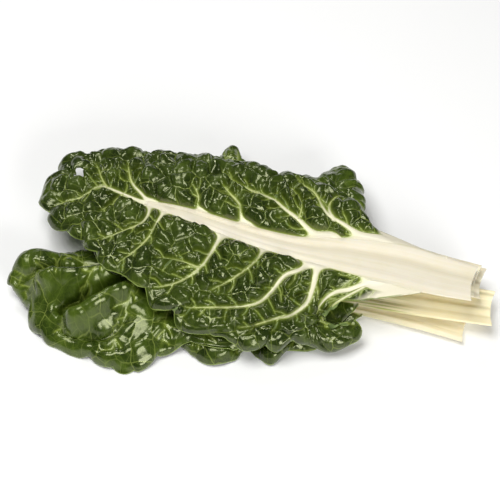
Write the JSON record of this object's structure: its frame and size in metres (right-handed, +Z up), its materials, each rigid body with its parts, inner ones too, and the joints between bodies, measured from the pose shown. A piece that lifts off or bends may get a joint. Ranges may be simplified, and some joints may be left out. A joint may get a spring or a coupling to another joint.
{
  "type": "chard bunch",
  "caption": "Bunch of broad-stalked white chard lying on its side: thick cream stalks fanned under crinkled, glossy dark green leaf blades.",
  "frame": {"origin": "on the surface that the bunch lies on, under the middle of its box", "axes": "+X towards the cut ends of the stalks, along the bunch's longest side; +Z up, away from the surface"},
  "size_m": [0.4481, 0.232, 0.0641],
  "materials": {
    "stalk_cream": "fresh white chard stalk: cream, faintly ribbed along its length, moist, satin",
    "blade_green": "fresh chard leaf: dark green, blistered between pale veins, waxy and glossy"
  },
  "bodies": {
    "root": {"top_leaf_stalk": "stalk_cream", "top_leaf_blade": "blade_green", "second_leaf_stalk": "stalk_cream", "second_leaf_blade": "blade_green", "third_leaf_stalk": "stalk_cream", "third_leaf_blade": "blade_green", "fourth_leaf_stalk": "stalk_cream", "fourth_leaf_blade": "blade_green", "bottom_leaf_stalk": "stalk_cream", "bottom_leaf_blade": "blade_green"}
  },
  "joints": []
}
